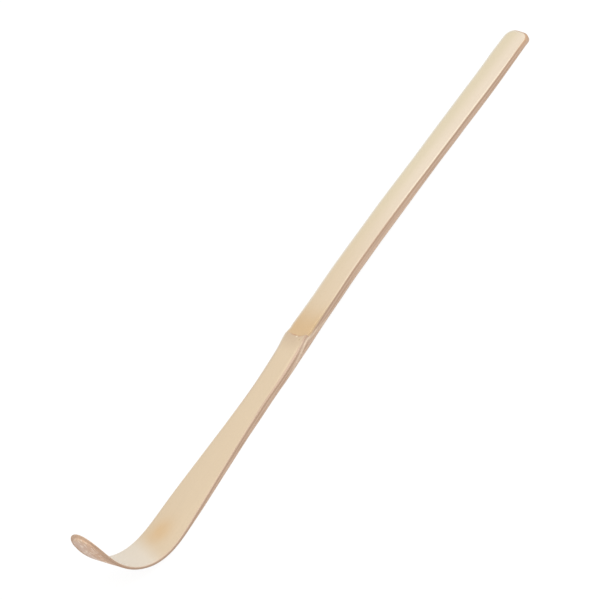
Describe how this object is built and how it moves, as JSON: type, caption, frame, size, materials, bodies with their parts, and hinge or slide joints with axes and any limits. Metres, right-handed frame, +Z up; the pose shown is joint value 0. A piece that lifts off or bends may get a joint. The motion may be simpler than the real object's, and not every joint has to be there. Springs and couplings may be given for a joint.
{
  "type": "bamboo tea scoop",
  "caption": "Slender bamboo tea scoop, one split strip with a node across its middle, thinned and bent up at the end into a round-tipped bowl.",
  "frame": {"origin": "on the table, under the middle of the scoop's length and width, as it lies on its back", "axes": "+X along the scoop towards the butt of the handle, +Y across it, +Z up from the table, out of the face"},
  "size_m": [0.1818, 0.0116, 0.0237],
  "materials": {
    "bamboo": "satin"
  },
  "bodies": {
    "root": {"bamboo_scoop": "bamboo"}
  },
  "joints": []
}
